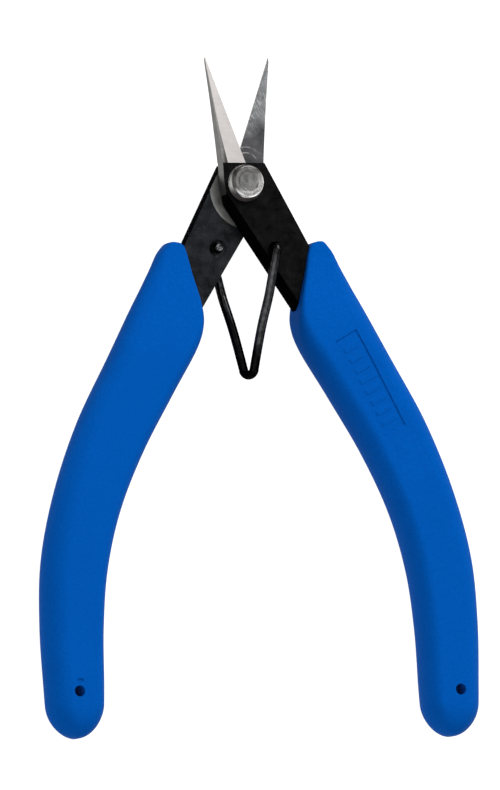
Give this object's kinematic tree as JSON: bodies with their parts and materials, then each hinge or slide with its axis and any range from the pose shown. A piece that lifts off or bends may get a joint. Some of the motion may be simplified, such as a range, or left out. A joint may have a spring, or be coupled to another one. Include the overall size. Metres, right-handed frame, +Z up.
{
  "type": "precision scissor cutter",
  "caption": "Slim spring-return hand cutter: riveted steel blades with long ground points, curved blue rubber grips and a hairpin wire spring.",
  "frame": {"origin": "middle of the tool's outline at the lowest face, with the tool lying flat and open", "axes": "+Z up along the rivet, +Y along the tool's middle line to the blade tips, +X to the right"},
  "size_m": [0.0952, 0.1406, 0.0131],
  "materials": {
    "blackened_steel": "black oxide with ground, bare steel blade faces",
    "bright_steel": "satin, worn bright on the rim",
    "spring_wire": "smooth blackened spring wire",
    "blue_rubber": "satin moulded rubber"
  },
  "bodies": {
    "front_half": {"front_blade_arm": "blackened_steel", "front_grip": "blue_rubber", "pivot_rivet": "bright_steel"},
    "rear_half": {"rear_blade_arm": "blackened_steel", "rear_grip": "blue_rubber"},
    "spring_front": {"front_spring_leg": "spring_wire"},
    "spring_rear": {"rear_spring_leg": "spring_wire"}
  },
  "joints": [
    {"name": "close_handles", "type": "hinge", "parent": "front_half", "child": "rear_half", "pos_m": [0, 0.04415, 0.00655], "axis": [0, 0, 1], "range_deg": [0, 30.4], "stiffness_Nm_per_rad": 0.8},
    {"name": "spring_front_swing", "type": "hinge", "parent": "front_half", "child": "spring_front", "pos_m": [0.00545, 0.03085, 0.00655], "axis": [0, 0, 1], "range_deg": [0, 23.2]},
    {"name": "spring_bend_flex", "type": "hinge", "parent": "spring_front", "child": "spring_rear", "pos_m": [0, 0.00455, 0.00655], "axis": [0, 0, 1], "range_deg": [-15.9, 0]}
  ],
  "couplings": [
    {"joint": "spring_front_swing", "follows": "close_handles", "ratio": 0.7607},
    {"joint": "spring_bend_flex", "follows": "close_handles", "ratio": -0.5213}
  ]
}
